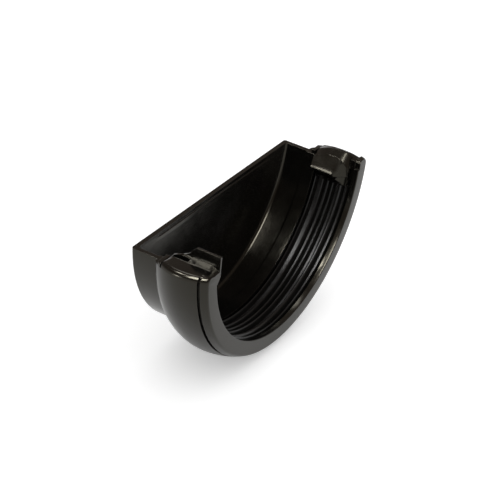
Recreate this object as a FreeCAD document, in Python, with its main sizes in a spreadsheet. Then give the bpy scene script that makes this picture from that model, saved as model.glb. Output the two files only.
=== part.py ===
import FreeCAD, Part
import Sketcher
import math
import os

# External end cap of a half-round rain gutter, in millimetres.
# Frame: the origin is on the gutter's own axis, in the plane of the cap's mouth.
# Y runs from the mouth (0) to the end wall, X runs across the gutter and Z is up.
# The top edges lie axis_rise below the axis, because the section is a little less than half round.
# The clip with the thumb tab is on the -X side.

SIZES = [
    # The gutter that the cap fits, and how loosely.
    ("gutter_radius", 56.0),
    ("gutter_clearance", 1.5),
    ("axis_rise", 5.1),
    # Lengths along the gutter.
    ("rim_width", 2.4),
    ("channel_length", 19.0),
    ("lip_length", 5.3),
    ("chamber_length", 12.9),
    # Walls and the steps between them.
    ("chamber_step", 0.7),
    ("chamber_wall", 2.0),
    ("end_wall", 2.0),
    ("socket_wall", 2.6),
    ("shoulder_foot", 1.9),
    # The socket swells to a crown between the rim and the chamber.
    ("crown_height", 10.0),
    ("crown_place", 12.9),
    ("rim_height", 6.8),
    # The groove round the outside, just behind the rim.
    ("groove_place", 3.0),
    ("groove_width", 1.1),
    ("groove_depth", 1.0),
    # Eased edges.
    ("mouth_chamfer", 0.8),
    ("end_chamfer", 1.0),
    ("inner_chamfer", 1.2),
    # The rim's two ends, which stand above the top edges.
    ("rim_end_root", 3.2),
    ("far_rim_rise", 5.4),
    ("far_rim_round", 4.0),
    ("far_rim_inset", 0.8),
    ("near_rim_rise", 2.7),
    ("near_rim_round", 1.6),
    ("near_rim_toe", 2.7),
    # Arched covers of the snap clips, over both top edges of the socket.
    ("clip_length", 21.7),
    ("clip_rise", 5.3),
    ("clip_sag", 2.6),
    ("clip_root", 8.5),
    ("clip_shoulder", 3.0),
    ("clip_slope_width", 3.5),
    ("clip_slope_drop", 1.5),
    ("clip_top_width", 4.6),
    ("clip_top_drop", 2.2),
    ("clip_wall", 2.0),
    ("lip_thick", 2.0),
    ("lip_drop", 2.0),
    # Lead-in ramp with its snap nose, and the web beside it that is flush with the opening.
    ("ramp_place", 12.5),
    ("ramp_rise", 3.4),
    ("ramp_rear_sag", 3.4),
    ("ramp_front_sag", 6.2),
    ("web_place", 4.7),
    ("web_length", 6.2),
    ("web_thick", 3.0),
    ("web_drop", 8.9),
    ("nose_reach", 4.5),
    ("nose_drop", 4.3),
    ("nose_thick", 1.3),
    ("nose_width", 2.6),
    # Slot through the top of the near cover, behind the thumb tab.
    ("slot_place", 13.4),
    ("slot_length", 7.0),
    ("slot_width", 2.2),
    # Thumb tab of the near clip.
    ("tab_inset", 1.7),
    ("tab_thick", 1.8),
    ("tab_rise", 9.5),
    ("tab_length", 15.3),
    ("tab_lean", 2.1),
    ("tab_lean_drop", 5.7),
    ("tab_corner", 1.7),
    ("tab_foot", 1.6),
    # Ears: the ends of the step wall, which rise a little above the top edges.
    ("ear_thick", 1.7),
    ("ear_rise", 2.0),
    ("ear_gap", 0.8),
    ("ear_root", 1.0),
    # Ribbed rubber seal in the socket's channel.
    ("seal_side_gap", 0.4),
    ("seal_base", 2.2),
    ("seal_squeeze", 0.5),
    ("seal_rib_width", 1.5),
    ("seal_end_gap", 0.3),
    # Shallow stiffening rib on the inside of the end wall, under its top edge.
    ("rib_drop", 1.6),
    ("rib_width", 2.6),
    ("rib_height", 0.8),
    ("rib_margin", 9.0),
]

# Places of the seal's ribs, as shares of its width counted from the chamber side,
# and the width of each rib in rib widths.
SEAL_RIBS = [(0.07, 1.0), (0.28, 1.0), (0.43, 1.0), (0.56, 1.0), (0.76, 1.7), (0.94, 0.8)]


class Size:
    """A length that knows its number and the expression that gives it."""

    def __init__(self, number, text):
        self.number = float(number)
        self.text = text

    def join(self, other, sign, number):
        return Size(number, "(%s %s %s)" % (self.text, sign, as_size(other).text))

    def __add__(self, other):
        return self.join(other, "+", self.number + as_size(other).number)

    def __radd__(self, other):
        return as_size(other) + self

    def __sub__(self, other):
        return self.join(other, "-", self.number - as_size(other).number)

    def __rsub__(self, other):
        return as_size(other) - self

    def __mul__(self, other):
        return self.join(other, "*", self.number * as_size(other).number)

    def __rmul__(self, other):
        return as_size(other) * self

    def __truediv__(self, other):
        return self.join(other, "/", self.number / as_size(other).number)

    def __neg__(self):
        return as_size(0) - self


def as_size(value):
    return value if isinstance(value, Size) else Size(value, repr(value))


def root(value):
    return Size(math.sqrt(value.number), "sqrt(%s)" % value.text)


def tangent_radius(run, rise):
    """Radius of an arc that is level at one end and has risen by rise over run at the other."""
    return (run * run + rise * rise) / (2 * rise)


os.makedirs("parts", exist_ok=True)
doc = FreeCAD.newDocument("gutter_end_cap")
sheet = doc.addObject("Spreadsheet::Sheet", "sizes")
size = {}
for row, (alias, value) in enumerate(SIZES, start=1):
    sheet.set("A%d" % row, alias)
    sheet.set("B%d" % row, str(value))
    sheet.setAlias("B%d" % row, alias)
    size[alias] = Size(value, "sizes.%s" % alias)
doc.recompute()

TURN_XZ = FreeCAD.Rotation(FreeCAD.Vector(1, 0, 0), 90)
TURN_YZ = FreeCAD.Rotation(FreeCAD.Vector(1, 1, 1), 120)
TURN_NONE = FreeCAD.Rotation()


def sketch(name, turn, corners, arcs):
    """A closed outline through corners, each bound to the sheet. arcs maps an edge's number to
    its radius: positive bulges to the right of the way round, negative to the left."""
    outline = doc.addObject("Sketcher::SketchObject", name)
    outline.Placement = FreeCAD.Placement(FreeCAD.Vector(), turn)
    count = len(corners)
    points = [FreeCAD.Vector(as_size(x).number, as_size(y).number, 0) for x, y in corners]
    start_end = []
    for edge in range(count):
        start, end = points[edge], points[(edge + 1) % count]
        if edge not in arcs:
            outline.addGeometry(Part.LineSegment(start, end))
            start_end.append((1, 2))
            continue
        radius = arcs[edge].number
        chord = end - start
        left = FreeCAD.Vector(-chord.y, chord.x, 0).normalize()
        to_centre = math.sqrt(max(radius * radius - chord.Length ** 2 / 4, 0))
        centre = (start + end) / 2 + left * math.copysign(to_centre, radius)
        first, last = (start, end) if radius > 0 else (end, start)
        turns = [math.atan2(point.y - centre.y, point.x - centre.x) for point in (first, last)]
        circle = Part.Circle(centre, FreeCAD.Vector(0, 0, 1), abs(radius))
        outline.addGeometry(Part.ArcOfCircle(circle, turns[0], turns[1]))
        start_end.append((1, 2) if radius > 0 else (2, 1))
    for edge in range(count):
        follower = (edge + 1) % count
        outline.addConstraint(Sketcher.Constraint(
            "Coincident", edge, start_end[edge][1], follower, start_end[follower][0]))
    for edge, (x, y) in enumerate(corners):
        for kind, value in (("DistanceX", as_size(x)), ("DistanceY", as_size(y))):
            number = outline.addConstraint(Sketcher.Constraint(
                kind, -1, 1, edge, start_end[edge][0], value.number))
            outline.setExpression("Constraints[%d]" % number, value.text)
    for edge, radius in arcs.items():
        sign = 1 if radius.number > 0 else -1
        number = outline.addConstraint(Sketcher.Constraint("Radius", edge, abs(radius.number)))
        outline.setExpression("Constraints[%d]" % number, (radius * sign).text)
    return outline


def revolve(name, outline):
    turned = doc.addObject("Part::Revolution", name)
    turned.Source = outline
    turned.Axis = FreeCAD.Vector(0, 1, 0)
    turned.Base = FreeCAD.Vector()
    turned.Angle = 360
    turned.Solid = True
    return turned


def extrude(name, outline, direction, forward, backward):
    """Pushes an outline along direction by forward, and the other way by backward."""
    pushed = doc.addObject("Part::Extrusion", name)
    pushed.Base = outline
    pushed.DirMode = "Custom"
    pushed.Dir = direction
    pushed.setExpression("LengthFwd", as_size(forward).text)
    pushed.setExpression("LengthRev", as_size(backward).text)
    pushed.Solid = True
    return pushed


def combine(kind, name, pieces):
    joined = doc.addObject("Part::" + kind, name)
    if kind == "Cut":
        joined.Base, joined.Tool = pieces
    else:
        joined.Shapes = pieces
    return joined


ALONG_Y = FreeCAD.Vector(0, 1, 0)
ALONG_X = FreeCAD.Vector(1, 0, 0)

# Places along Y, from the mouth to the end wall.
channel_start = size["rim_width"]
channel_end = channel_start + size["channel_length"]
length = channel_end + size["lip_length"] + size["chamber_length"]
foot_place = length - size["chamber_length"]
inner_end = length - size["end_wall"]

# Radii about the gutter's axis.
opening_radius = size["gutter_radius"] + size["gutter_clearance"]
chamber_inner = opening_radius + size["chamber_step"]
chamber_outer = chamber_inner + size["chamber_wall"]
foot_radius = chamber_outer + size["shoulder_foot"]
crown_radius = opening_radius + size["crown_height"]
rim_radius = opening_radius + size["rim_height"]
reach = crown_radius * 1.2

# Heights, and the inner edge of the clips' covers, where the ramps begin.
top_edge = -size["axis_rise"]
ramp_level = top_edge + size["clip_rise"] - size["clip_top_drop"]
ramp_top = crown_radius - size["clip_shoulder"] - size["clip_slope_width"] - size["clip_top_width"]
tab_face = opening_radius - size["tab_inset"]

# The swell of the socket: one arc from the crown down to the rim, one down to the shoulder's foot.
rear_arc = tangent_radius(foot_place - size["crown_place"], crown_radius - foot_radius)
front_arc = tangent_radius(size["crown_place"], crown_radius - rim_radius)


def swell(place, inset):
    """Radius of the swell at a place along Y, set in by inset."""
    crown = size["crown_place"]
    behind = place.number > crown.number
    arc = rear_arc if behind else front_arc
    run = place - crown
    bend = arc - inset
    return crown_radius - arc + root(bend * bend - run * run)


def channel_floor(place):
    """Radius of the channel's straight floor at a place along Y, on either side of the crown."""
    inset = size["socket_wall"]
    crown = size["crown_place"]
    foot = channel_end if place.number > crown.number else channel_start
    low = swell(foot, inset)
    return low + (crown_radius - inset - low) * (place - foot) / (crown - foot)


def outer_corners():
    """The outside from the end wall's centre to the rim's outer edge, with its arcs."""
    mouth_chamfer = size["mouth_chamfer"]
    end_chamfer = size["end_chamfer"]
    corners = [
        (0, length),
        (chamber_outer - end_chamfer, length),
        (chamber_outer, length - end_chamfer),
        (chamber_outer, foot_place),
        (foot_radius, foot_place),
        (crown_radius, size["crown_place"]),
        (swell(mouth_chamfer, 0), mouth_chamfer),
        (swell(mouth_chamfer, 0) - mouth_chamfer, 0),
    ]
    return corners, {4: -rear_arc, 5: -front_arc}


def make_shell():
    """End wall, chamber, shoulder, socket and rim, turned about the gutter's axis."""
    corners, arcs = outer_corners()
    inner_chamfer = size["inner_chamfer"]
    corners = corners + [
        (opening_radius, 0),
        (opening_radius, channel_start),
        (channel_floor(channel_start), channel_start),
        (crown_radius - size["socket_wall"], size["crown_place"]),
        (channel_floor(channel_end), channel_end),
        (opening_radius, channel_end),
        (opening_radius, foot_place),
        (chamber_inner, foot_place + size["chamber_step"]),
        (chamber_inner, inner_end - inner_chamfer),
        (chamber_inner - inner_chamfer, inner_end),
        (0, inner_end),
    ]
    return revolve("shell_round", sketch("shell_section", TURN_NONE, corners, arcs))


def make_envelope():
    """The outside of the socket as a full solid, which trims the clips and the rim's ends."""
    corners, arcs = outer_corners()
    return revolve("envelope_round", sketch("envelope_section", TURN_NONE, corners + [(0, 0)], arcs))


def make_groove():
    """Ring that cuts the groove behind the rim."""
    front = size["groove_place"]
    rear = front + size["groove_width"]
    bottom = swell(front, 0) - size["groove_depth"]
    corners = [(bottom, front), (reach, front), (reach, rear), (bottom, rear)]
    return revolve("groove_round", sketch("groove_section", TURN_NONE, corners, {}))


def make_open_top():
    """Block over the whole cap, down to the top edges."""
    corners = [(-reach, top_edge), (reach, top_edge), (reach, reach), (-reach, reach)]
    outline = sketch("open_top_outline", TURN_XZ, corners, {})
    return extrude("open_top", outline, ALONG_Y, length, 0)


def slab(name, corners, arcs, side, start, end):
    """A prism between two places along Y. Its outline is drawn for the +X side, and is
    mirrored to the -X side when side is -1."""
    if side < 0:
        corners = [(-as_size(x), z) for x, z in corners]
        arcs = {edge: -radius for edge, radius in arcs.items()}
    outline = sketch(name + "_outline", TURN_XZ, corners, arcs)
    return extrude(name + "_block", outline, ALONG_Y, end, -as_size(start))


def make_rim_end(name, side, rise, bend, inner_top, toe):
    """The rim's end, carried above the top edge with a rounded outer corner."""
    root_place = top_edge - size["rim_end_root"]
    top = top_edge + rise
    corners = [
        (opening_radius, root_place),
        (rim_radius, root_place),
        (rim_radius, top - bend),
        (rim_radius - bend, top),
        (inner_top, top),
        (toe, top_edge),
    ]
    block = slab(name, corners, {2: bend}, side, 0, size["rim_width"])
    return combine("MultiCommon", name, [block, envelope])


def make_clip(name, side):
    """Arched cover over the top edge, with a lead-in ramp that ends in a snap nose."""
    wall = crown_radius
    top = top_edge + size["clip_rise"]
    shoulder = size["clip_shoulder"]
    slope_foot = top - size["clip_slope_drop"]
    crest = wall - shoulder - size["clip_slope_width"]
    root_place = top_edge - size["clip_root"]
    thick = size["clip_wall"]
    corners = [
        (wall, root_place),
        (wall, slope_foot - shoulder),
        (wall - shoulder, slope_foot),
        (crest, top),
        (ramp_top, ramp_level),
        (ramp_top, ramp_level - thick),
        (crest, top - thick),
        (wall - shoulder, slope_foot - thick),
        (wall - thick, slope_foot - shoulder - thick),
        (wall - thick, root_place),
    ]
    cover = slab(name + "_cover", corners, {1: shoulder}, side, 0, size["clip_length"])
    lip_back = ramp_top + size["lip_thick"]
    lip_foot = top_edge - size["lip_drop"]
    corners = [
        (opening_radius, lip_foot),
        (lip_back + size["lip_thick"] / 2, lip_foot),
        (lip_back + size["lip_thick"] / 2, top),
        (ramp_top, ramp_level),
    ]
    lip = slab(name + "_lip", corners, {}, side, size["web_place"], size["clip_length"])
    outer = combine("MultiFuse", name + "_outer", [cover, lip])
    outer = combine("MultiCommon", name + "_arched", [outer, envelope, arch])

    nose_tip = opening_radius - size["nose_reach"]
    nose_place = top_edge - size["nose_drop"]
    nose_under = nose_place - size["nose_thick"]
    corners = [
        (ramp_top, ramp_level),
        (nose_tip, nose_place),
        (nose_tip + size["nose_thick"] / 2, nose_under),
        (nose_tip + size["nose_thick"] / 2 + size["nose_width"], nose_under),
        (lip_back, ramp_level),
    ]
    nose_start = size["web_place"] + size["web_length"]
    hook = slab(name + "_hook", corners, {}, side, nose_start, size["clip_length"])
    web_under = top_edge - size["web_drop"]
    web_over = top_edge - size["lip_drop"] / 2
    web_foot = root(opening_radius * opening_radius - web_under * web_under)
    web_head = root(opening_radius * opening_radius - web_over * web_over)
    corners = [
        (ramp_top, ramp_level),
        (web_head, web_over),
        (web_foot, web_under),
        (web_foot + size["web_thick"], web_under),
        (lip_back, ramp_level),
    ]
    web = slab(name + "_web", corners, {1: -opening_radius}, side, size["web_place"],
               nose_start + size["nose_thick"])
    inner = combine("MultiFuse", name + "_inner", [hook, web])
    inner = combine("MultiCommon", name + "_ramp", [inner, ramp_arch])
    return combine("MultiFuse", name, [outer, inner])


def arched_block(name, corners, arcs):
    """Block across the cap whose outline is seen from the side."""
    return extrude(name, sketch(name + "_outline", TURN_YZ, corners, arcs), ALONG_X, reach, reach)


def make_arch():
    """Block whose top is the covers' arch."""
    end = size["clip_length"]
    top = top_edge + size["clip_rise"]
    springing = top - size["clip_sag"]
    bow = tangent_radius(end / 2, size["clip_sag"])
    corners = [(0, -reach), (end, -reach), (end, springing), (end / 2, top), (0, springing)]
    return arched_block("arch", corners, {2: bow, 3: bow})


def make_ramp_arch():
    """Block whose top is the ramps' arch, which falls further towards the mouth."""
    start = size["web_place"]
    end = size["clip_length"]
    crown = size["ramp_place"]
    top = top_edge + size["ramp_rise"]
    corners = [
        (start, -reach),
        (end, -reach),
        (end, top - size["ramp_rear_sag"]),
        (crown, top),
        (start, top - size["ramp_front_sag"]),
    ]
    rear_bow = tangent_radius(end - crown, size["ramp_rear_sag"])
    front_bow = tangent_radius(crown - start, size["ramp_front_sag"])
    return arched_block("ramp_arch", corners, {2: rear_bow, 3: front_bow})


def make_tab():
    """Thumb tab of the near clip: an upright plate along the gutter on a sloped foot."""
    top = top_edge + size["tab_rise"]
    face = tab_face
    corners = [
        (face - size["tab_thick"], top_edge),
        (face - size["tab_thick"], top),
        (face, top),
        (face, ramp_level + size["tab_foot"]),
        (ramp_top + size["lip_thick"], ramp_level),
        (ramp_top + size["lip_thick"], top_edge),
    ]
    block = slab("tab", corners, {}, -1, 0, size["tab_length"])
    end = size["tab_length"]
    lean = end - size["tab_lean"]
    corners = [
        (0, top_edge),
        (end, top_edge),
        (end, top - size["tab_lean_drop"]),
        (lean, top - size["tab_corner"]),
        (lean - size["tab_corner"], top),
        (0, top),
    ]
    return combine("MultiCommon", "tab", [block, arched_block("tab_side", corners, {})])


def make_slot():
    """Block that cuts the slot through the near cover's top."""
    inner = ramp_top + size["lip_thick"]
    corners = [
        (inner, ramp_level - size["clip_wall"]),
        (inner + size["slot_width"], ramp_level - size["clip_wall"]),
        (inner + size["slot_width"], reach),
        (inner, reach),
    ]
    start = size["slot_place"]
    return slab("slot", corners, {}, -1, start, start + size["slot_length"])


def make_ear(name, side):
    """End of the shoulder wall, standing above the top edge behind the clip."""
    start = size["clip_length"] + size["ear_gap"]
    top = top_edge + size["ear_rise"]
    corners = [
        (opening_radius, top_edge - size["ear_root"]),
        (reach, top_edge - size["ear_root"]),
        (reach, top),
        (opening_radius, top),
    ]
    block = slab(name, corners, {}, side, start, start + size["ear_thick"])
    return combine("MultiCommon", name, [block, envelope])


def make_end_rib():
    """Shallow rib along the inside of the end wall, just under its top edge."""
    half = chamber_inner - size["rib_margin"]
    top = top_edge - size["rib_drop"]
    bottom = top - size["rib_width"]
    corners = [(-half, bottom), (half, bottom), (half, top), (-half, top)]
    return extrude("end_rib", sketch("end_rib_outline", TURN_XZ, corners, {}), ALONG_Y,
                   inner_end + size["end_wall"] / 2, size["rib_height"] - inner_end)


def make_seal():
    """Rubber strip that fills the channel, with ribs that press on the gutter."""
    start = channel_start + size["seal_side_gap"]
    end = channel_end - size["seal_side_gap"]
    width = end - start
    tip = opening_radius + size["seal_squeeze"] - size["gutter_clearance"] / 2
    valley = opening_radius + size["seal_base"]
    corners = [
        (channel_floor(end), end),
        (crown_radius - size["socket_wall"], size["crown_place"]),
        (channel_floor(start), start),
        (valley, start),
    ]
    for share, broad in reversed(SEAL_RIBS):
        crest = end - width * share
        half = size["seal_rib_width"] * broad / 2
        corners.append((valley, crest - half))
        corners.append((tip, crest))
        corners.append((valley, crest + half))
    corners.append((valley, end))
    ring = revolve("seal_round", sketch("seal_section", TURN_NONE, corners, {}))
    cut_level = top_edge - size["web_drop"] - size["seal_end_gap"]
    corners = [(-reach, cut_level), (reach, cut_level), (reach, reach), (-reach, reach)]
    above = extrude("seal_top", sketch("seal_top_outline", TURN_XZ, corners, {}), ALONG_Y, length, 0)
    return combine("Cut", "seal", [ring, above])


envelope = make_envelope()
arch = make_arch()
ramp_arch = make_ramp_arch()
shell = combine("Cut", "shell", [make_shell(), make_open_top()])
far_inner = opening_radius + size["far_rim_inset"]
near_toe = opening_radius - size["near_rim_toe"]
added = [
    make_rim_end("far_rim_end", 1, size["far_rim_rise"], size["far_rim_round"], far_inner, far_inner),
    make_rim_end("near_rim_end", -1, size["near_rim_rise"], size["near_rim_round"], tab_face, near_toe),
    make_clip("far_clip", 1),
    make_clip("near_clip", -1),
    make_tab(),
    make_ear("far_ear", 1),
    make_ear("near_ear", -1),
    make_end_rib(),
]
whole = combine("MultiFuse", "whole", [shell] + added)
slotted = combine("Cut", "slotted", [whole, make_slot()])
body = combine("Cut", "body", [slotted, make_groove()])
seal = make_seal()
body.Label = "cap_body"
seal.Label = "seal_ring"
doc.recompute()

for item in doc.Objects:
    if "Invalid" in item.State or "Error" in item.State:
        raise RuntimeError("%s failed: %s" % (item.Name, item.State))
for node in (body, seal):
    shape = node.Shape
    if shape.isNull() or not shape.isValid() or len(shape.Solids) != 1:
        raise RuntimeError("%s has a bad shape: %d solids" % (node.Label, len(shape.Solids)))
    shape.exportStep("parts/%s.step" % node.Label)
    corner = shape.BoundBox
    print("%s: %.0f mm3, %d faces, x %.1f to %.1f, y %.1f to %.1f, z %.1f to %.1f" % (
        node.Label, shape.Volume, len(shape.Faces),
        corner.XMin, corner.XMax, corner.YMin, corner.YMax, corner.ZMin, corner.ZMax))
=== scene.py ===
# %% [markdown]
# # A gutter end cap in Blender
# The object closes the end of a half-round rain gutter. It is one glossy black moulding,
# with a ribbed rubber seal pressed into its socket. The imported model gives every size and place.
# This lesson loads that model as a fixed frame, dresses it with smooth surfaces and real
# finishes, and photographs it from the side that shows the mouth.

# %% Load the frame
import bpy
import bmesh
import math
from mathutils import Matrix, Vector


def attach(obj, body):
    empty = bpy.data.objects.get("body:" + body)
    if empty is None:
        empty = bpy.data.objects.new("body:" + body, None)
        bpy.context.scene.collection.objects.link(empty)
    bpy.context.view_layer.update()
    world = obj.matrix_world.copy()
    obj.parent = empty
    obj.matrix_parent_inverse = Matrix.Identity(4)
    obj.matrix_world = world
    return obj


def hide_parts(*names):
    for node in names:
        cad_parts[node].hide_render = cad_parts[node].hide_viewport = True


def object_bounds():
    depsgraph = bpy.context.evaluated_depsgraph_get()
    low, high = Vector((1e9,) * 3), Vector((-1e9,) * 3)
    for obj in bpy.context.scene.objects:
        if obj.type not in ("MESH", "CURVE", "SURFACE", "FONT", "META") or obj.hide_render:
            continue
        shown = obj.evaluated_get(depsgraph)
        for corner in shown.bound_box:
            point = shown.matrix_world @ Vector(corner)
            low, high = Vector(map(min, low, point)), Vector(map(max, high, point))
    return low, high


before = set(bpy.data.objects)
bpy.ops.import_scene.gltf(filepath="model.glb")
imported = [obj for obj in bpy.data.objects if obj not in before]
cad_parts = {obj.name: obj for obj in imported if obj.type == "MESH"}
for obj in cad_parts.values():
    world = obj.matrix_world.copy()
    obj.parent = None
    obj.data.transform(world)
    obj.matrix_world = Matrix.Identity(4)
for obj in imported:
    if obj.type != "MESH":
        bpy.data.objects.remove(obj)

cad_low, cad_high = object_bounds()
print("CAD box, metres:", [round(v, 4) for v in cad_low], [round(v, 4) for v in cad_high])

# %% [markdown]
# Every size below is in millimetres, as on a maker's drawing, and one helper turns it to metres.
# The origin is on the gutter's axis in the plane of the mouth, and Y runs to the end wall.
# They repeat the construction's driving sizes, so the smooth skin has the same form.

# %% Sizes on the drawing
MM = 0.001
LENGTH = 39.6
AXIS_RISE = 5.1
OPENING_RADIUS = 57.5
CHAMBER_INNER = 58.2
CHAMBER_OUTER = 60.2
END_WALL = 2.0
FOOT_PLACE = 26.7
FOOT_RADIUS = 62.1
CROWN_PLACE = 12.9
CROWN_RADIUS = 67.5
RIM_RADIUS = 64.3
TOP_EDGE = -AXIS_RISE


def tangent_radius(run, rise):
    """Radius of an arc that is level at one end and has risen by rise over run at the other."""
    return (run * run + rise * rise) / (2 * rise)


REAR_ARC = tangent_radius(FOOT_PLACE - CROWN_PLACE, CROWN_RADIUS - FOOT_RADIUS)
FRONT_ARC = tangent_radius(CROWN_PLACE, CROWN_RADIUS - RIM_RADIUS)


def swell(place, inset=0.0):
    """Radius of the socket's swelling wall at a place along Y, set in by inset."""
    arc = REAR_ARC if place > CROWN_PLACE else FRONT_ARC
    run = place - CROWN_PLACE
    return CROWN_RADIUS - arc + math.sqrt((arc - inset) ** 2 - run * run)


print("the swell's arcs, mm:", round(REAR_ARC, 1), round(FRONT_ARC, 1))

# %% [markdown]
# Three helpers carry the modelling. One samples an arc, one sweeps a loop of points along
# a row of sections and closes both ends, and one joins closed solids into a single skin.

# %% Helpers
def arc(centre, radius, first, last, count):
    """Points on an arc from the first to the last angle, in degrees."""
    turns = [math.radians(first + (last - first) * step / count) for step in range(count + 1)]
    return [(centre[0] + radius * math.cos(turn), centre[1] + radius * math.sin(turn)) for turn in turns]


def spread(first, last, count):
    """Even places from first to last, both included."""
    return [first + (last - first) * step / count for step in range(count + 1)]


def new_object(name, mesh_data):
    """Turns a bmesh into an object of closed, outward-facing faces."""
    bmesh.ops.recalc_face_normals(mesh_data, faces=mesh_data.faces)
    mesh = bpy.data.meshes.new(name)
    mesh_data.to_mesh(mesh)
    mesh_data.free()
    made = bpy.data.objects.new(name, mesh)
    bpy.context.scene.collection.objects.link(made)
    return made


def loft(name, sections):
    """A closed solid through sections, each a loop of as many points, given in millimetres."""
    shape = bmesh.new()
    rings = [[shape.verts.new(Vector(point) * MM) for point in section] for section in sections]
    for ring, following in zip(rings, rings[1:]):
        for place in range(len(ring)):
            after = (place + 1) % len(ring)
            shape.faces.new((ring[place], ring[after], following[after], following[place]))
    shape.faces.new(rings[0])
    shape.faces.new(rings[-1])
    return new_object(name, shape)


def combine(base, others, operation):
    """Applies an exact boolean of each of the others to base and removes them."""
    for other in others:
        step = base.modifiers.new(other.name, "BOOLEAN")
        step.object = other
        step.operation = operation
        step.solver = "EXACT"
    evaluated = base.evaluated_get(bpy.context.evaluated_depsgraph_get())
    mesh = bpy.data.meshes.new_from_object(evaluated)
    base.modifiers.clear()
    base.data = mesh
    for other in others:
        bpy.data.objects.remove(other)
    return base


def smooth(piece, sharp_angle):
    """Shades a piece smooth, with sharp edges where its faces turn by more than sharp_angle."""
    piece.data.polygons.foreach_set("use_smooth", [True] * len(piece.data.polygons))
    piece.data.set_sharp_from_angle(angle=math.radians(sharp_angle))


# %% [markdown]
# The body's round part is a profile turned about the gutter's axis. Every ring of it starts
# and ends at the level of the top edges, so the cut there is flat. The end wall closes the
# rings at one end, inside and outside, and one U-shaped face closes the wall along the top.

# %% The profile, from the end wall round the mouth and back inside
END_ROUND = 1.1
INNER_ROUND = 1.5
MOUTH_ROUND = 0.8
EDGE_ROUND = 0.35
SHOULDER_ROUND = 0.5
GROOVE_FRONT = 3.0
GROOVE_REAR = 4.1
GROOVE_DEPTH = 1.0
CHANNEL_START = 2.4
CHANNEL_END = 21.4
SOCKET_WALL = 2.6
CHAMBER_STEP = 0.7
INNER_END = LENGTH - END_WALL
FULL_TURN_STEPS = 160


def outer_radius(place):
    """Radius of the socket's outside at a place along Y, with the mouth's round and the groove."""
    radius = swell(place)
    if GROOVE_FRONT <= place <= GROOVE_REAR:
        return swell(GROOVE_FRONT) - GROOVE_DEPTH
    if place < MOUTH_ROUND:
        short = MOUTH_ROUND - place
        return radius - MOUTH_ROUND + math.sqrt(max(MOUTH_ROUND ** 2 - short ** 2, 0))
    return radius


def socket_places():
    """Places along Y where the socket's outside is sampled, dense at the mouth and the groove."""
    rounded = [MOUTH_ROUND * (1 - math.cos(math.radians(turn))) for turn in range(0, 91, 15)]
    notch = [GROOVE_FRONT - 0.02, GROOVE_FRONT, GROOVE_REAR, GROOVE_REAR + 0.02]
    return rounded + spread(1.2, 2.6, 3) + notch + spread(4.8, FOOT_PLACE, 34)


def channel_floor(place):
    """Radius of the channel's floor, where the seal sits."""
    crown = CROWN_RADIUS - SOCKET_WALL
    foot = CHANNEL_END if place > CROWN_PLACE else CHANNEL_START
    low = swell(foot, SOCKET_WALL)
    return low + (crown - low) * (place - foot) / (CROWN_PLACE - foot)


profile = arc((CHAMBER_OUTER - END_ROUND, LENGTH - END_ROUND), END_ROUND, 90, 0, 8)
profile += [(CHAMBER_OUTER, FOOT_PLACE + SHOULDER_ROUND)]
profile += [(CHAMBER_OUTER + SHOULDER_ROUND * 0.3, FOOT_PLACE + SHOULDER_ROUND * 0.3)]
profile += [(CHAMBER_OUTER + SHOULDER_ROUND, FOOT_PLACE)]
profile += [(FOOT_RADIUS - EDGE_ROUND, FOOT_PLACE)]
profile += [(outer_radius(place), place) for place in reversed(socket_places()[:-1])]
profile += [(OPENING_RADIUS + EDGE_ROUND, 0.0)]
profile += arc((OPENING_RADIUS + EDGE_ROUND, EDGE_ROUND), EDGE_ROUND, 225, 180, 2)
profile += [(OPENING_RADIUS, CHANNEL_START)]
profile += [(channel_floor(place), place) for place in (CHANNEL_START, CROWN_PLACE, CHANNEL_END)]
profile += [(OPENING_RADIUS, CHANNEL_END), (OPENING_RADIUS, FOOT_PLACE)]
profile += [(CHAMBER_INNER, FOOT_PLACE + CHAMBER_STEP)]
profile += arc((CHAMBER_INNER - INNER_ROUND, INNER_END - INNER_ROUND), INNER_ROUND, 0, 90, 8)
print("profile points:", len(profile))

# %% Turn the profile
def turned_shell():
    shape = bmesh.new()
    rings = []
    for radius, place in profile:
        lift = math.asin(AXIS_RISE / radius)
        turns = [-lift - (math.pi - 2 * lift) * step / FULL_TURN_STEPS for step in range(FULL_TURN_STEPS + 1)]
        rings.append([
            shape.verts.new(Vector((radius * math.cos(turn), place, radius * math.sin(turn))) * MM)
            for turn in turns
        ])
    for ring, following in zip(rings, rings[1:]):
        for step in range(FULL_TURN_STEPS):
            shape.faces.new((ring[step], ring[step + 1], following[step + 1], following[step]))
    shape.faces.new(rings[0])
    shape.faces.new(rings[-1])
    shape.faces.new([ring[0] for ring in rings] + [ring[-1] for ring in reversed(rings)])
    return new_object("cap_skin", shape)


cap = turned_shell()
print("turned faces:", len(cap.data.polygons))

# %% [markdown]
# The clips are built for the +X side and mirrored. Their covers follow the socket's swell
# outside and one long arch on top. A ramp below the cover's inner edge leads the gutter in
# and ends in a snap nose. The ramp has an arch of its own that falls further to the mouth.

# %% Sizes of the clips
CLIP_LENGTH = 21.7
CLIP_RISE = 5.0
CLIP_SAG = 2.7
CLIP_SHOULDER = 2.5
CREST = 61.0
CREST_GAP = 3.3
NEAR_CREST = 59.0
NEAR_CREST_LEVEL = TOP_EDGE + 2.85
CREST_DROP = 2.4
RAMP_TOP = 56.4
RAMP_LEVEL = TOP_EDGE + 3.1
PLATFORM = TOP_EDGE + 3.95
COVER_SINK = 0.6
RIM_END_ROOT = 3.2
TAB_FACE = OPENING_RADIUS - 1.7
FAR_RIM_RISE = 4.2
FAR_RIM_ROUND = 3.2
FAR_RIM_INSET = 0.8
LIP_BACK = 58.4
LIP_FOOT = TOP_EDGE - 2.0
WEB_START = 4.7
WEB_END = 10.9
WEB_UNDER = TOP_EDGE - 8.9
NOSE_TIP = OPENING_RADIUS - 4.5
NOSE_PLACE = TOP_EDGE - 4.3
NOSE_THICK = 1.3
NOSE_WIDTH = 2.6
NOSE_ROUND = 0.65
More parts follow.
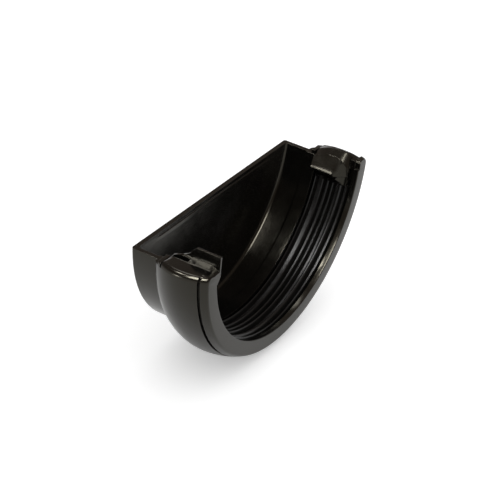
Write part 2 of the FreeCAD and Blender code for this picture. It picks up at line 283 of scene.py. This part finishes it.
RAMP_CROWN = 12.5
RAMP_RISE = 3.4
RAMP_REAR_SAG = 3.4
RAMP_FRONT_SAG = 6.2


def bow(run, reach, sag):
    """How far an arc that is level at its crown has fallen at run, with sag at reach."""
    radius = tangent_radius(reach, sag)
    return radius - math.sqrt(radius * radius - run * run)


def cover_top(place):
    return TOP_EDGE + CLIP_RISE - bow(place - CLIP_LENGTH / 2, CLIP_LENGTH / 2, CLIP_SAG)


def ramp_top(place):
    front = place < RAMP_CROWN
    reach = RAMP_CROWN - WEB_START if front else CLIP_LENGTH - RAMP_CROWN
    return TOP_EDGE + RAMP_RISE - bow(place - RAMP_CROWN, reach, RAMP_FRONT_SAG if front else RAMP_REAR_SAG)


def on_circle(radius, height):
    return math.sqrt(radius * radius - height * height)


def nose_reach(place):
    """How far the nose has drawn back towards the mouth, from 0 to 1, and its tip's place in X."""
    back = max(0.0, (WEB_END - place) / (WEB_END - WEB_START))
    blend = back * back * (3 - 2 * back)
    return back, NOSE_TIP + (on_circle(OPENING_RADIUS, NOSE_PLACE) - 0.05 - NOSE_TIP) * blend


def ramp_slant(place):
    return (RAMP_TOP - nose_reach(place)[1]) / (RAMP_LEVEL - NOSE_PLACE)


def ramp_edge(place):
    """Upper edge of the ramp in X and Z, where the cover's top meets it."""
    level = min(ramp_top(place), RAMP_LEVEL)
    return RAMP_TOP - (RAMP_LEVEL - level) * ramp_slant(place), level


# %% Parts of a clip
def cover_section(place, side):
    """Section of a clip's cover: a round shoulder, a slope up to the crest under the arch, and
    a top that falls inwards. Beside the mouth it takes the shape of the rim's own end."""
    radius = outer_radius(place)
    wall = on_circle(radius, TOP_EDGE)
    points = [(wall - 1.2, TOP_EDGE - COVER_SINK), (wall, TOP_EDGE)]
    if side > 0 and place <= CHANNEL_START:
        top = TOP_EDGE + FAR_RIM_RISE
        bend_level = top - FAR_RIM_ROUND
        inner = OPENING_RADIUS + FAR_RIM_INSET
        points += arc((on_circle(radius, bend_level) - FAR_RIM_ROUND, bend_level), FAR_RIM_ROUND, 2, 90, 11)
        points += [(inner + 1.0, top), (inner + 0.3, top - 0.4), (inner, top - 1.2), (inner, TOP_EDGE - COVER_SINK)]
        return [(x, place, z) for x, z in points]
    top = cover_top(place)
    highest = TOP_EDGE + CLIP_RISE
    shoulder_level = highest - CREST_DROP - CLIP_SHOULDER
    upper_wall = on_circle(radius, shoulder_level)
    points += arc((upper_wall - CLIP_SHOULDER, shoulder_level), CLIP_SHOULDER, 3, 88, 10)
    crest = min(CREST if side > 0 else NEAR_CREST, upper_wall - CREST_GAP)
    if side > 0:
        points += [(crest + 0.8, highest - 0.4), (crest, highest), (crest - 1.2, highest - 0.1)]
    else:
        near_level = min(NEAR_CREST_LEVEL, top - 0.25)
        points += [(crest + 0.6, near_level - 0.03), (crest, near_level), (crest - 0.4, near_level + 0.1)]
    lip_inner = on_circle(OPENING_RADIUS, LIP_FOOT)
    if side > 0 and place <= WEB_START:
        inner = OPENING_RADIUS + 0.4
        points += [(inner + 0.05, highest - 1.3), (inner, TOP_EDGE - COVER_SINK)]
    elif side > 0:
        edge, level = ramp_edge(place)
        points += [(edge + 0.1, level - 0.02), (edge + 0.8, level - 2)]
    elif place <= CHANNEL_START:
        root_level = TOP_EDGE - RIM_END_ROOT
        points += [(TAB_FACE - 0.2, PLATFORM), (OPENING_RADIUS - 2.7, TOP_EDGE)]
        points += [(on_circle(OPENING_RADIUS, root_level), root_level)]
    else:
        points += [(TAB_FACE - 0.2, PLATFORM), (TAB_FACE - 0.2, TOP_EDGE + 0.5), (lip_inner, LIP_FOOT)]
    return [(side * x, place, min(z, top)) for x, z in points]


def cover(side):
    places = [place for place in socket_places() if place < CLIP_LENGTH] + [CLIP_LENGTH]
    places = sorted(places + [CHANNEL_START, CHANNEL_START + 0.02, WEB_START, WEB_START + 0.02])
    return loft("cover", [cover_section(place, side) for place in places])


def prism(name, outline, side, start, end):
    """A straight prism along Y with an outline drawn for the +X side."""
    return loft(name, [[(side * x, place, z) for x, z in outline] for place in (start, end)])


def hook_section(place, side):
    """The ramp, cut off above by its arch. Its lower edge is the round snap nose, which draws
    back to the opening and deepens to a web towards the mouth."""
    top = ramp_edge(place)[1]
    back, tip = nose_reach(place)
    under = NOSE_PLACE - NOSE_THICK + (WEB_UNDER - NOSE_PLACE + NOSE_THICK) * min(1.0, 1.5 * back) ** 1.2
    under_tip = min(tip + NOSE_ROUND, on_circle(OPENING_RADIUS, under))
    slant = ramp_slant(place)
    points = [(RAMP_TOP - (RAMP_LEVEL - level) * slant, level) for level in spread(top, NOSE_PLACE + 0.3, 4)]
    points += arc((tip + NOSE_ROUND, NOSE_PLACE - 0.4), NOSE_ROUND, 155, 225, 4)
    points += [(under_tip, under), (under_tip + NOSE_WIDTH, under)]
    points += [(LIP_BACK, max(NOSE_PLACE, under)), (LIP_BACK, top)]
    return [(side * x, place, z) for x, z in points]


def hook(side):
    return loft("hook", [hook_section(place, side) for place in spread(WEB_START + 0.02, CLIP_LENGTH - 0.06, 30)])


# %% Rim ends, tab, ears and the end wall's rib
TAB_THICK = 0.9
TAB_TOP = TOP_EDGE + 9.0
TAB_LENGTH = 15.3
TAB_LEAN = 2.1
TAB_CORNER = 1.7
EAR_START = 22.5
EAR_THICK = 1.7
EAR_RISE = 1.7
RIB_HALF = 45.0
RIB_TOP = TOP_EDGE - 1.6
RIB_WIDTH = 2.6
RIB_HEIGHT = 0.4


def tab():
    """Upright thumb plate, whose lower edge runs on to the rear as a thin arched lip."""
    lean = TAB_LENGTH - TAB_LEAN
    outline = [
        (0.06, TOP_EDGE + 0.2), (CLIP_LENGTH - 0.5, TOP_EDGE + 0.2),
        (19.7, TOP_EDGE + 2.7), (16.3, TOP_EDGE + 4.3), (14.3, TOP_EDGE + 5.6),
        (lean, TAB_TOP - TAB_CORNER), (lean - TAB_CORNER, TAB_TOP), (0.06, TAB_TOP),
    ]
    faces = (TAB_FACE - TAB_THICK, TAB_FACE)
    return loft("tab", [[(-x, place, z) for place, z in outline] for x in faces])


def ear(side):
    top = TOP_EDGE + EAR_RISE
    sections = []
    for place in (EAR_START, EAR_START + EAR_THICK):
        wall = on_circle(swell(place), TOP_EDGE)
        points = [(OPENING_RADIUS, TOP_EDGE - COVER_SINK), (wall - 1.2, TOP_EDGE - COVER_SINK), (wall, TOP_EDGE)]
        points += arc((wall - 1.2, top - 1.2), 1.2, 0, 90, 4) + [(OPENING_RADIUS, top)]
        sections.append([(side * x, place, z) for x, z in points])
    return loft("ear", sections)


def end_rib():
    """Shallow rib on the inside of the end wall, run out to nothing at both ends."""
    sections = []
    for x, height in ((-RIB_HALF, 0.02), (-RIB_HALF + 4, RIB_HEIGHT), (RIB_HALF - 4, RIB_HEIGHT), (RIB_HALF, 0.02)):
        face = INNER_END - height
        sections.append([
            (x, INNER_END + 1, RIB_TOP - RIB_WIDTH), (x, INNER_END + 1, RIB_TOP),
            (x, face, RIB_TOP - 0.4), (x, face, RIB_TOP - RIB_WIDTH + 0.4),
        ])
    return loft("end_rib", sections)


def slot():
    """The pocket in the near cover's top, behind the thumb tab."""
    inner, outer, floor_level = 56.6, 58.6, TOP_EDGE + 1.2
    outline = [(inner, floor_level), (outer, floor_level), (outer, TOP_EDGE + 12), (inner, TOP_EDGE + 12)]
    return prism("slot", outline, -1, 13.4, 21.2)


# %% [markdown]
# All the closed solids are united into one skin, as the real cap is one moulding.

# %% Unite the body
added = [cover(1), cover(-1), hook(1), hook(-1), tab(), ear(1), ear(-1), end_rib()]
combine(cap, added, "UNION")
combine(cap, [slot()], "DIFFERENCE")
smooth(cap, 19)
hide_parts("cap_body")
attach(cap, "root")
print("united faces:", len(cap.data.polygons))

# %% [markdown]
# The seal is a rubber strip that lies in the channel. Its section has six soft ridges that
# press on the gutter. A small node tree sweeps that section along the channel's arc.

# %% Seal section
SEAL_GAP = 0.4
SEAL_VALLEY = OPENING_RADIUS + 2.2
SEAL_TIP = OPENING_RADIUS + 0.5 - 0.75
SEAL_RIB_WIDTH = 1.5
SEAL_RIBS = [(0.07, 1.0), (0.28, 1.0), (0.43, 1.0), (0.56, 1.0), (0.76, 1.7), (0.94, 0.8)]
SEAL_CUT = TOP_EDGE - 8.9 - 0.3
seal_start = CHANNEL_START + SEAL_GAP
seal_end = CHANNEL_END - SEAL_GAP


def seal_height(place):
    """Radius of the seal's inner face: a soft ridge at each rib's share of the width."""
    height = 0.0
    for share, broad in SEAL_RIBS:
        away = (place - seal_end + (seal_end - seal_start) * share) / (SEAL_RIB_WIDTH * broad / 2)
        if abs(away) < 1.25:
            height = max(height, math.cos(away * math.pi / 2.5) ** 0.9)
    return SEAL_VALLEY + (SEAL_TIP - SEAL_VALLEY) * height


seal_section = [(channel_floor(place), place) for place in (seal_end, CROWN_PLACE, seal_start)]
seal_section += [(seal_height(place), place) for place in spread(seal_start, seal_end, 110)]
print("seal section points:", len(seal_section))

# %% Section as a flat loop
def section_loop(name, points):
    """The section as a closed loop of edges, with the radius along X and the place along Y."""
    mesh = bpy.data.meshes.new(name)
    edges = [(step, (step + 1) % len(points)) for step in range(len(points))]
    mesh.from_pydata([Vector((radius, place, 0.0)) * MM for radius, place in points], edges, [])
    made = bpy.data.objects.new(name, mesh)
    bpy.context.scene.collection.objects.link(made)
    return made


# %% [markdown]
# The tree draws the flat section out into a straight bar along Z, one unit long. Then it bends
# the bar under the gutter's axis, so that Z becomes the share of the turn. Each point starts and
# ends its turn at the cut's level, which leaves both ends of the strip cut flat.

# %% Node tree that bends a bar
def math_node(tree, operation, *inputs):
    """A math node whose inputs are numbers or the outputs of other nodes."""
    node = tree.nodes.new("ShaderNodeMath")
    node.operation = operation
    for socket, value in zip(node.inputs, inputs):
        if isinstance(value, (int, float)):
            socket.default_value = value
        else:
            tree.links.new(value, socket)
    return node.outputs["Value"]


def bent_bar_tree(material):
    """Returns the tree and the identifiers of its named inputs."""
    tree = bpy.data.node_groups.new("bent_bar", "GeometryNodeTree")
    links = tree.links
    named = {}
    tree.interface.new_socket("Section", in_out="INPUT", socket_type="NodeSocketGeometry")
    for name, kind in (("Steps", "NodeSocketInt"), ("Cut Depth", "NodeSocketFloat")):
        named[name] = tree.interface.new_socket(name, in_out="INPUT", socket_type=kind).identifier
    tree.interface.new_socket("Strip", in_out="OUTPUT", socket_type="NodeSocketGeometry")
    given = tree.nodes.new("NodeGroupInput")
    section = tree.nodes.new("GeometryNodeMeshToCurve")
    links.new(given.outputs["Section"], section.inputs["Mesh"])
    line = tree.nodes.new("GeometryNodeCurvePrimitiveLine")
    line.inputs["End"].default_value = (0.0, 0.0, 1.0)
    divided = tree.nodes.new("GeometryNodeResampleCurve")
    links.new(line.outputs["Curve"], divided.inputs["Curve"])
    links.new(math_node(tree, "ADD", given.outputs["Steps"], 1), divided.inputs["Count"])
    bar = tree.nodes.new("GeometryNodeCurveToMesh")
    bar.inputs["Fill Caps"].default_value = True
    links.new(divided.outputs["Curve"], bar.inputs["Curve"])
    links.new(section.outputs["Curve"], bar.inputs["Profile Curve"])
    split = tree.nodes.new("ShaderNodeSeparateXYZ")
    links.new(tree.nodes.new("GeometryNodeInputPosition").outputs["Position"], split.inputs[0])
    radius, place, share = split.outputs
    lift = math_node(tree, "ARCSINE", math_node(tree, "DIVIDE", given.outputs["Cut Depth"], radius))
    whole = math_node(tree, "MULTIPLY_ADD", lift, -2.0, math.pi)
    turn = math_node(tree, "MULTIPLY_ADD", whole, share, lift)
    bent = tree.nodes.new("ShaderNodeCombineXYZ")
    links.new(math_node(tree, "MULTIPLY", radius, math_node(tree, "COSINE", turn)), bent.inputs["X"])
    links.new(place, bent.inputs["Y"])
    depth = math_node(tree, "MULTIPLY", radius, math_node(tree, "SINE", turn))
    links.new(math_node(tree, "MULTIPLY", depth, -1.0), bent.inputs["Z"])
    moved = tree.nodes.new("GeometryNodeSetPosition")
    links.new(bar.outputs["Mesh"], moved.inputs["Geometry"])
    links.new(bent.outputs["Vector"], moved.inputs["Position"])
    real = tree.nodes.new("GeometryNodeRealizeInstances")
    links.new(moved.outputs["Geometry"], real.inputs["Geometry"])
    coated = tree.nodes.new("GeometryNodeSetMaterial")
    coated.inputs["Material"].default_value = material
    links.new(real.outputs["Geometry"], coated.inputs["Geometry"])
    links.new(coated.outputs["Geometry"], tree.nodes.new("NodeGroupOutput").inputs["Strip"])
    return tree, named


# %% Bend the seal
SEAL_STEPS = 130
rubber = bpy.data.materials.new("seal_rubber_epdm")
seal = section_loop("seal_skin", seal_section)
bar_tree, bar_inputs = bent_bar_tree(rubber)
bend = seal.modifiers.new("bend", "NODES")
bend.node_group = bar_tree
bend[bar_inputs["Steps"]] = SEAL_STEPS
bend[bar_inputs["Cut Depth"]] = -SEAL_CUT * MM
settled = seal.evaluated_get(bpy.context.evaluated_depsgraph_get())
strip = bpy.data.meshes.new_from_object(settled)
seal.modifiers.remove(bend)
seal.data = strip
strip_shape = bmesh.new()
strip_shape.from_mesh(strip)
bmesh.ops.recalc_face_normals(strip_shape, faces=strip_shape.faces)
print("seal volume, mm3:", round(strip_shape.calc_volume() / MM ** 3), "faces:", len(strip_shape.faces))
strip_shape.to_mesh(strip)
strip_shape.free()
smooth(seal, 50)
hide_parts("seal_ring")
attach(seal, "root")

# %% [markdown]
# The photograph was taken with a long lens from the mouth's side, a little above the top edges,
# and with a slight tilt. The camera's direction, distance and lens come from fitting the
# object's outline, so the render can be laid over the photograph.

# %% Camera
CAMERA_AZIMUTH = math.radians(-61.28)
CAMERA_ELEVATION = math.radians(31.28)
CAMERA_ROLL = math.radians(6.16)
CAMERA_TARGET = Vector((0.0, 18.145, -26.011)) * MM
CAMERA_DISTANCE = 0.8904
LENS = 150.86

back = Vector((
    math.sin(CAMERA_AZIMUTH) * math.cos(CAMERA_ELEVATION),
    -math.cos(CAMERA_AZIMUTH) * math.cos(CAMERA_ELEVATION),
    math.sin(CAMERA_ELEVATION),
))
level_right = Vector((math.cos(CAMERA_AZIMUTH), math.sin(CAMERA_AZIMUTH), 0.0))
level_up = back.cross(level_right)
right = level_right * math.cos(CAMERA_ROLL) + level_up * math.sin(CAMERA_ROLL)
up = level_up * math.cos(CAMERA_ROLL) - level_right * math.sin(CAMERA_ROLL)
camera_data = bpy.data.cameras.new("camera")
camera_data.lens = LENS
camera_data.clip_start = 0.05
camera_data.clip_end = 10.0
camera = bpy.data.objects.new("camera", camera_data)
turn = Matrix((right, up, back)).transposed()
camera.matrix_world = Matrix.Translation(CAMERA_TARGET + back * CAMERA_DISTANCE) @ turn.to_4x4()
bpy.context.scene.collection.objects.link(camera)
bpy.context.scene.camera = camera
print("camera at", [round(v, 3) for v in camera.location])

# %% [markdown]
# Both materials are built from nodes. Their patterns are measured in millimetres on the object,
# through Object coordinates, so they keep their scale from any distance.

# %% Material helpers
def linear(hex_colour):
    """A hex sRGB colour as Blender's linear red, green, blue and alpha."""
    parts = [int(hex_colour[place:place + 2], 16) / 255 for place in (1, 3, 5)]
    return [v / 12.92 if v <= 0.04045 else ((v + 0.055) / 1.055) ** 2.4 for v in parts] + [1.0]


def add_node(tree, kind, **values):
    """A node whose input sockets are set by name."""
    node = tree.nodes.new(kind)
    for socket, value in values.items():
        node.inputs[socket.replace("_", " ")].default_value = value
    return node


def noise(tree, size_mm, detail, roughness=0.5):
    """Noise whose blotches are about size_mm wide on the object."""
    place = tree.nodes.new("ShaderNodeTexCoord")
    node = add_node(tree, "ShaderNodeTexNoise", Scale=1 / (size_mm * MM), Detail=detail, Roughness=roughness)
    tree.links.new(place.outputs["Object"], node.inputs["Vector"])
    return node.outputs["Fac"]


def ranged(tree, source, low, high, to_low, to_high):
    """Stretches a value from one range to another, and holds it there."""
    node = add_node(tree, "ShaderNodeMapRange", From_Min=low, From_Max=high, To_Min=to_low, To_Max=to_high)
    tree.links.new(source, node.inputs["Value"])
    return node.outputs["Result"]


def mixed(tree, factor, first, second):
    """A colour between two hex colours."""
    node = tree.nodes.new("ShaderNodeMix")
    node.data_type = "RGBA"
    node.inputs[6].default_value = linear(first)
    node.inputs[7].default_value = linear(second)
    tree.links.new(factor, node.inputs[0])
    return node.outputs[2]


def bump(tree, height, strength, distance_mm, under=None):
    node = add_node(tree, "ShaderNodeBump", Strength=strength, Distance=distance_mm * MM)
    tree.links.new(height, node.inputs["Height"])
    if under is not None:
        tree.links.new(under, node.inputs["Normal"])
    return node.outputs["Normal"]


def new_material(name):
    material = bpy.data.materials.get(name) or bpy.data.materials.new(name)
    material.use_nodes = True
    return material, material.node_tree, material.node_tree.nodes["Principled BSDF"]


# %% [markdown]
# The cap is moulded black uPVC. The eye sees a deep black with a clean gloss, a slight waviness
# in long reflections where the wall has shrunk, and a few duller patches from handling.

# %% Gloss black uPVC
def gloss_black_upvc():
    material, tree, shader = new_material("gloss_black_upvc")
    links = tree.links
    links.new(mixed(tree, noise(tree, 14, 3), "#050504", "#090808"), shader.inputs["Base Color"])
    dulled = ranged(tree, noise(tree, 7, 6, 0.6), 0.35, 0.75, 0.13, 0.22)
    links.new(dulled, shader.inputs["Roughness"])
    shader.inputs["IOR"].default_value = 1.43
    shader.inputs["Specular Tint"].default_value = linear("#fff8e2")
    edges = add_node(tree, "ShaderNodeBevel", Radius=0.22 * MM)
    edges.samples = 6
    shrunk = bump(tree, noise(tree, 11, 2), 0.22, 0.12, edges.outputs["Normal"])
    skin = bump(tree, noise(tree, 0.9, 3), 0.10, 0.015, shrunk)
    links.new(skin, shader.inputs["Normal"])
    return material


# %% [markdown]
# The seal is extruded EPDM rubber. The eye sees a satin black that is a little browner, with
# a fine grain and soft highlights along its ridges.

# %% EPDM rubber
def epdm_rubber():
    material, tree, shader = new_material("seal_rubber_epdm")
    links = tree.links
    links.new(mixed(tree, noise(tree, 5, 5), "#080706", "#11100e"), shader.inputs["Base Color"])
    links.new(ranged(tree, noise(tree, 3, 5), 0.3, 0.7, 0.27, 0.38), shader.inputs["Roughness"])
    shader.inputs["IOR"].default_value = 1.43
    grain = bump(tree, noise(tree, 0.35, 4), 0.25, 0.03)
    links.new(bump(tree, noise(tree, 6, 2), 0.2, 0.15, grain), shader.inputs["Normal"])
    return material


cap.data.materials.append(gloss_black_upvc())
epdm_rubber()
print("materials:", [material.name for material in bpy.data.materials])

# %% [markdown]
# The ground is white paper that keeps the object's own soft shadow. The camera sees it a little
# brighter than the object does, so that it ends in pure white.

# %% Floor
FLOOR_DROP = 0.0002
FLOOR_SIZE = 6.0
PAPER_LIFT = 0.28


def floor_paper():
    material, tree, shader = new_material("floor_paper")
    tree.links.new(mixed(tree, noise(tree, 40, 2), "#fafafa", "#ffffff"), shader.inputs["Base Color"])
    shader.inputs["Roughness"].default_value = 0.9
    shader.inputs["Specular IOR Level"].default_value = 0.1
    shader.inputs["Emission Color"].default_value = linear("#ffffff")
    path = tree.nodes.new("ShaderNodeLightPath")
    lift = ranged(tree, path.outputs["Is Camera Ray"], 0.0, 1.0, 0.0, PAPER_LIFT)
    tree.links.new(lift, shader.inputs["Emission Strength"])
    return material


bpy.ops.mesh.primitive_plane_add(size=FLOOR_SIZE, location=(0, 0, cad_low.z - FLOOR_DROP))
floor = bpy.context.object
floor.name = "floor"
floor.data.materials.append(floor_paper())

# %% [markdown]
# The studio is white to the camera and white near the horizon, where gloss mirrors the paper.
# Higher up, gloss sees a dim warm ceiling, which leaves the clips' tops dark. A long softbox on
# the left gives the streak on the near shoulder. A small one behind it lights the platform
# beside the tab, by way of the tab's face. The other two give the clips' and ridges' glints.

# %% World
SKY_STRENGTH = 1.0
CEILING = "#8d8178"


def studio():
    world = bpy.data.worlds.new("studio")
    bpy.context.scene.world = world
    world.use_nodes = True
    tree = world.node_tree
    links = tree.links
    output = tree.nodes["World Output"]
    plain = tree.nodes["Background"]
    plain.inputs["Color"].default_value = linear("#ffffff")
    plain.inputs["Strength"].default_value = SKY_STRENGTH
    seen = add_node(tree, "ShaderNodeBackground", Strength=1.0)
    seen.inputs["Color"].default_value = linear("#ffffff")
    mirrored = add_node(tree, "ShaderNodeBackground", Strength=1.0)
    direction = tree.nodes.new("ShaderNodeTexCoord")
    split = tree.nodes.new("ShaderNodeSeparateXYZ")
    links.new(direction.outputs["Generated"], split.inputs["Vector"])
    height = ranged(tree, split.outputs["Z"], 0.02, 0.30, 0.0, 1.0)
    links.new(mixed(tree, height, "#ffffff", CEILING), mirrored.inputs["Color"])
    path = tree.nodes.new("ShaderNodeLightPath")
    gloss = tree.nodes.new("ShaderNodeMixShader")
    links.new(path.outputs["Is Glossy Ray"], gloss.inputs[0])
    links.new(plain.outputs[0], gloss.inputs[1])
    links.new(mirrored.outputs[0], gloss.inputs[2])
    camera_sees = tree.nodes.new("ShaderNodeMixShader")
    links.new(path.outputs["Is Camera Ray"], camera_sees.inputs[0])
    links.new(gloss.outputs[0], camera_sees.inputs[1])
    links.new(seen.outputs[0], camera_sees.inputs[2])
    links.new(camera_sees.outputs[0], output.inputs["Surface"])


studio()

# %% Softboxes
LAMP_AIM = Vector((0.0, 18.0, -25.0)) * MM


def softbox(name, direction, distance, width, height, brightness):
    """A rectangular lamp of a given brightness, where 1 is as bright as white paper."""
    data = bpy.data.lights.new(name, "AREA")
    data.shape = "RECTANGLE"
    data.size = width
    data.size_y = height
    data.energy = brightness * math.pi * width * height
    lamp = bpy.data.objects.new(name, data)
    lamp.visible_diffuse = False
    towards = Vector(direction).normalized()
    lamp.location = LAMP_AIM + towards * distance
    lamp.rotation_euler = towards.to_track_quat("Z", "Y").to_euler()
    bpy.context.scene.collection.objects.link(lamp)
    return lamp


softbox("softbox_streak", (-0.50, 0.01, 0.86), 0.9, 0.32, 0.52, 24)
softbox("softbox_behind_tab", (-0.353, 0.384, 0.852), 0.93, 0.15, 0.13, 24)
softbox("softbox_overhead", (0.33, 0.38, 0.86), 0.9, 0.16, 0.22, 4)
softbox("softbox_left", (-0.90, 0.41, 0.10), 0.9, 0.16, 0.10, 18)
bpy.context.scene.view_settings.view_transform = "Standard"
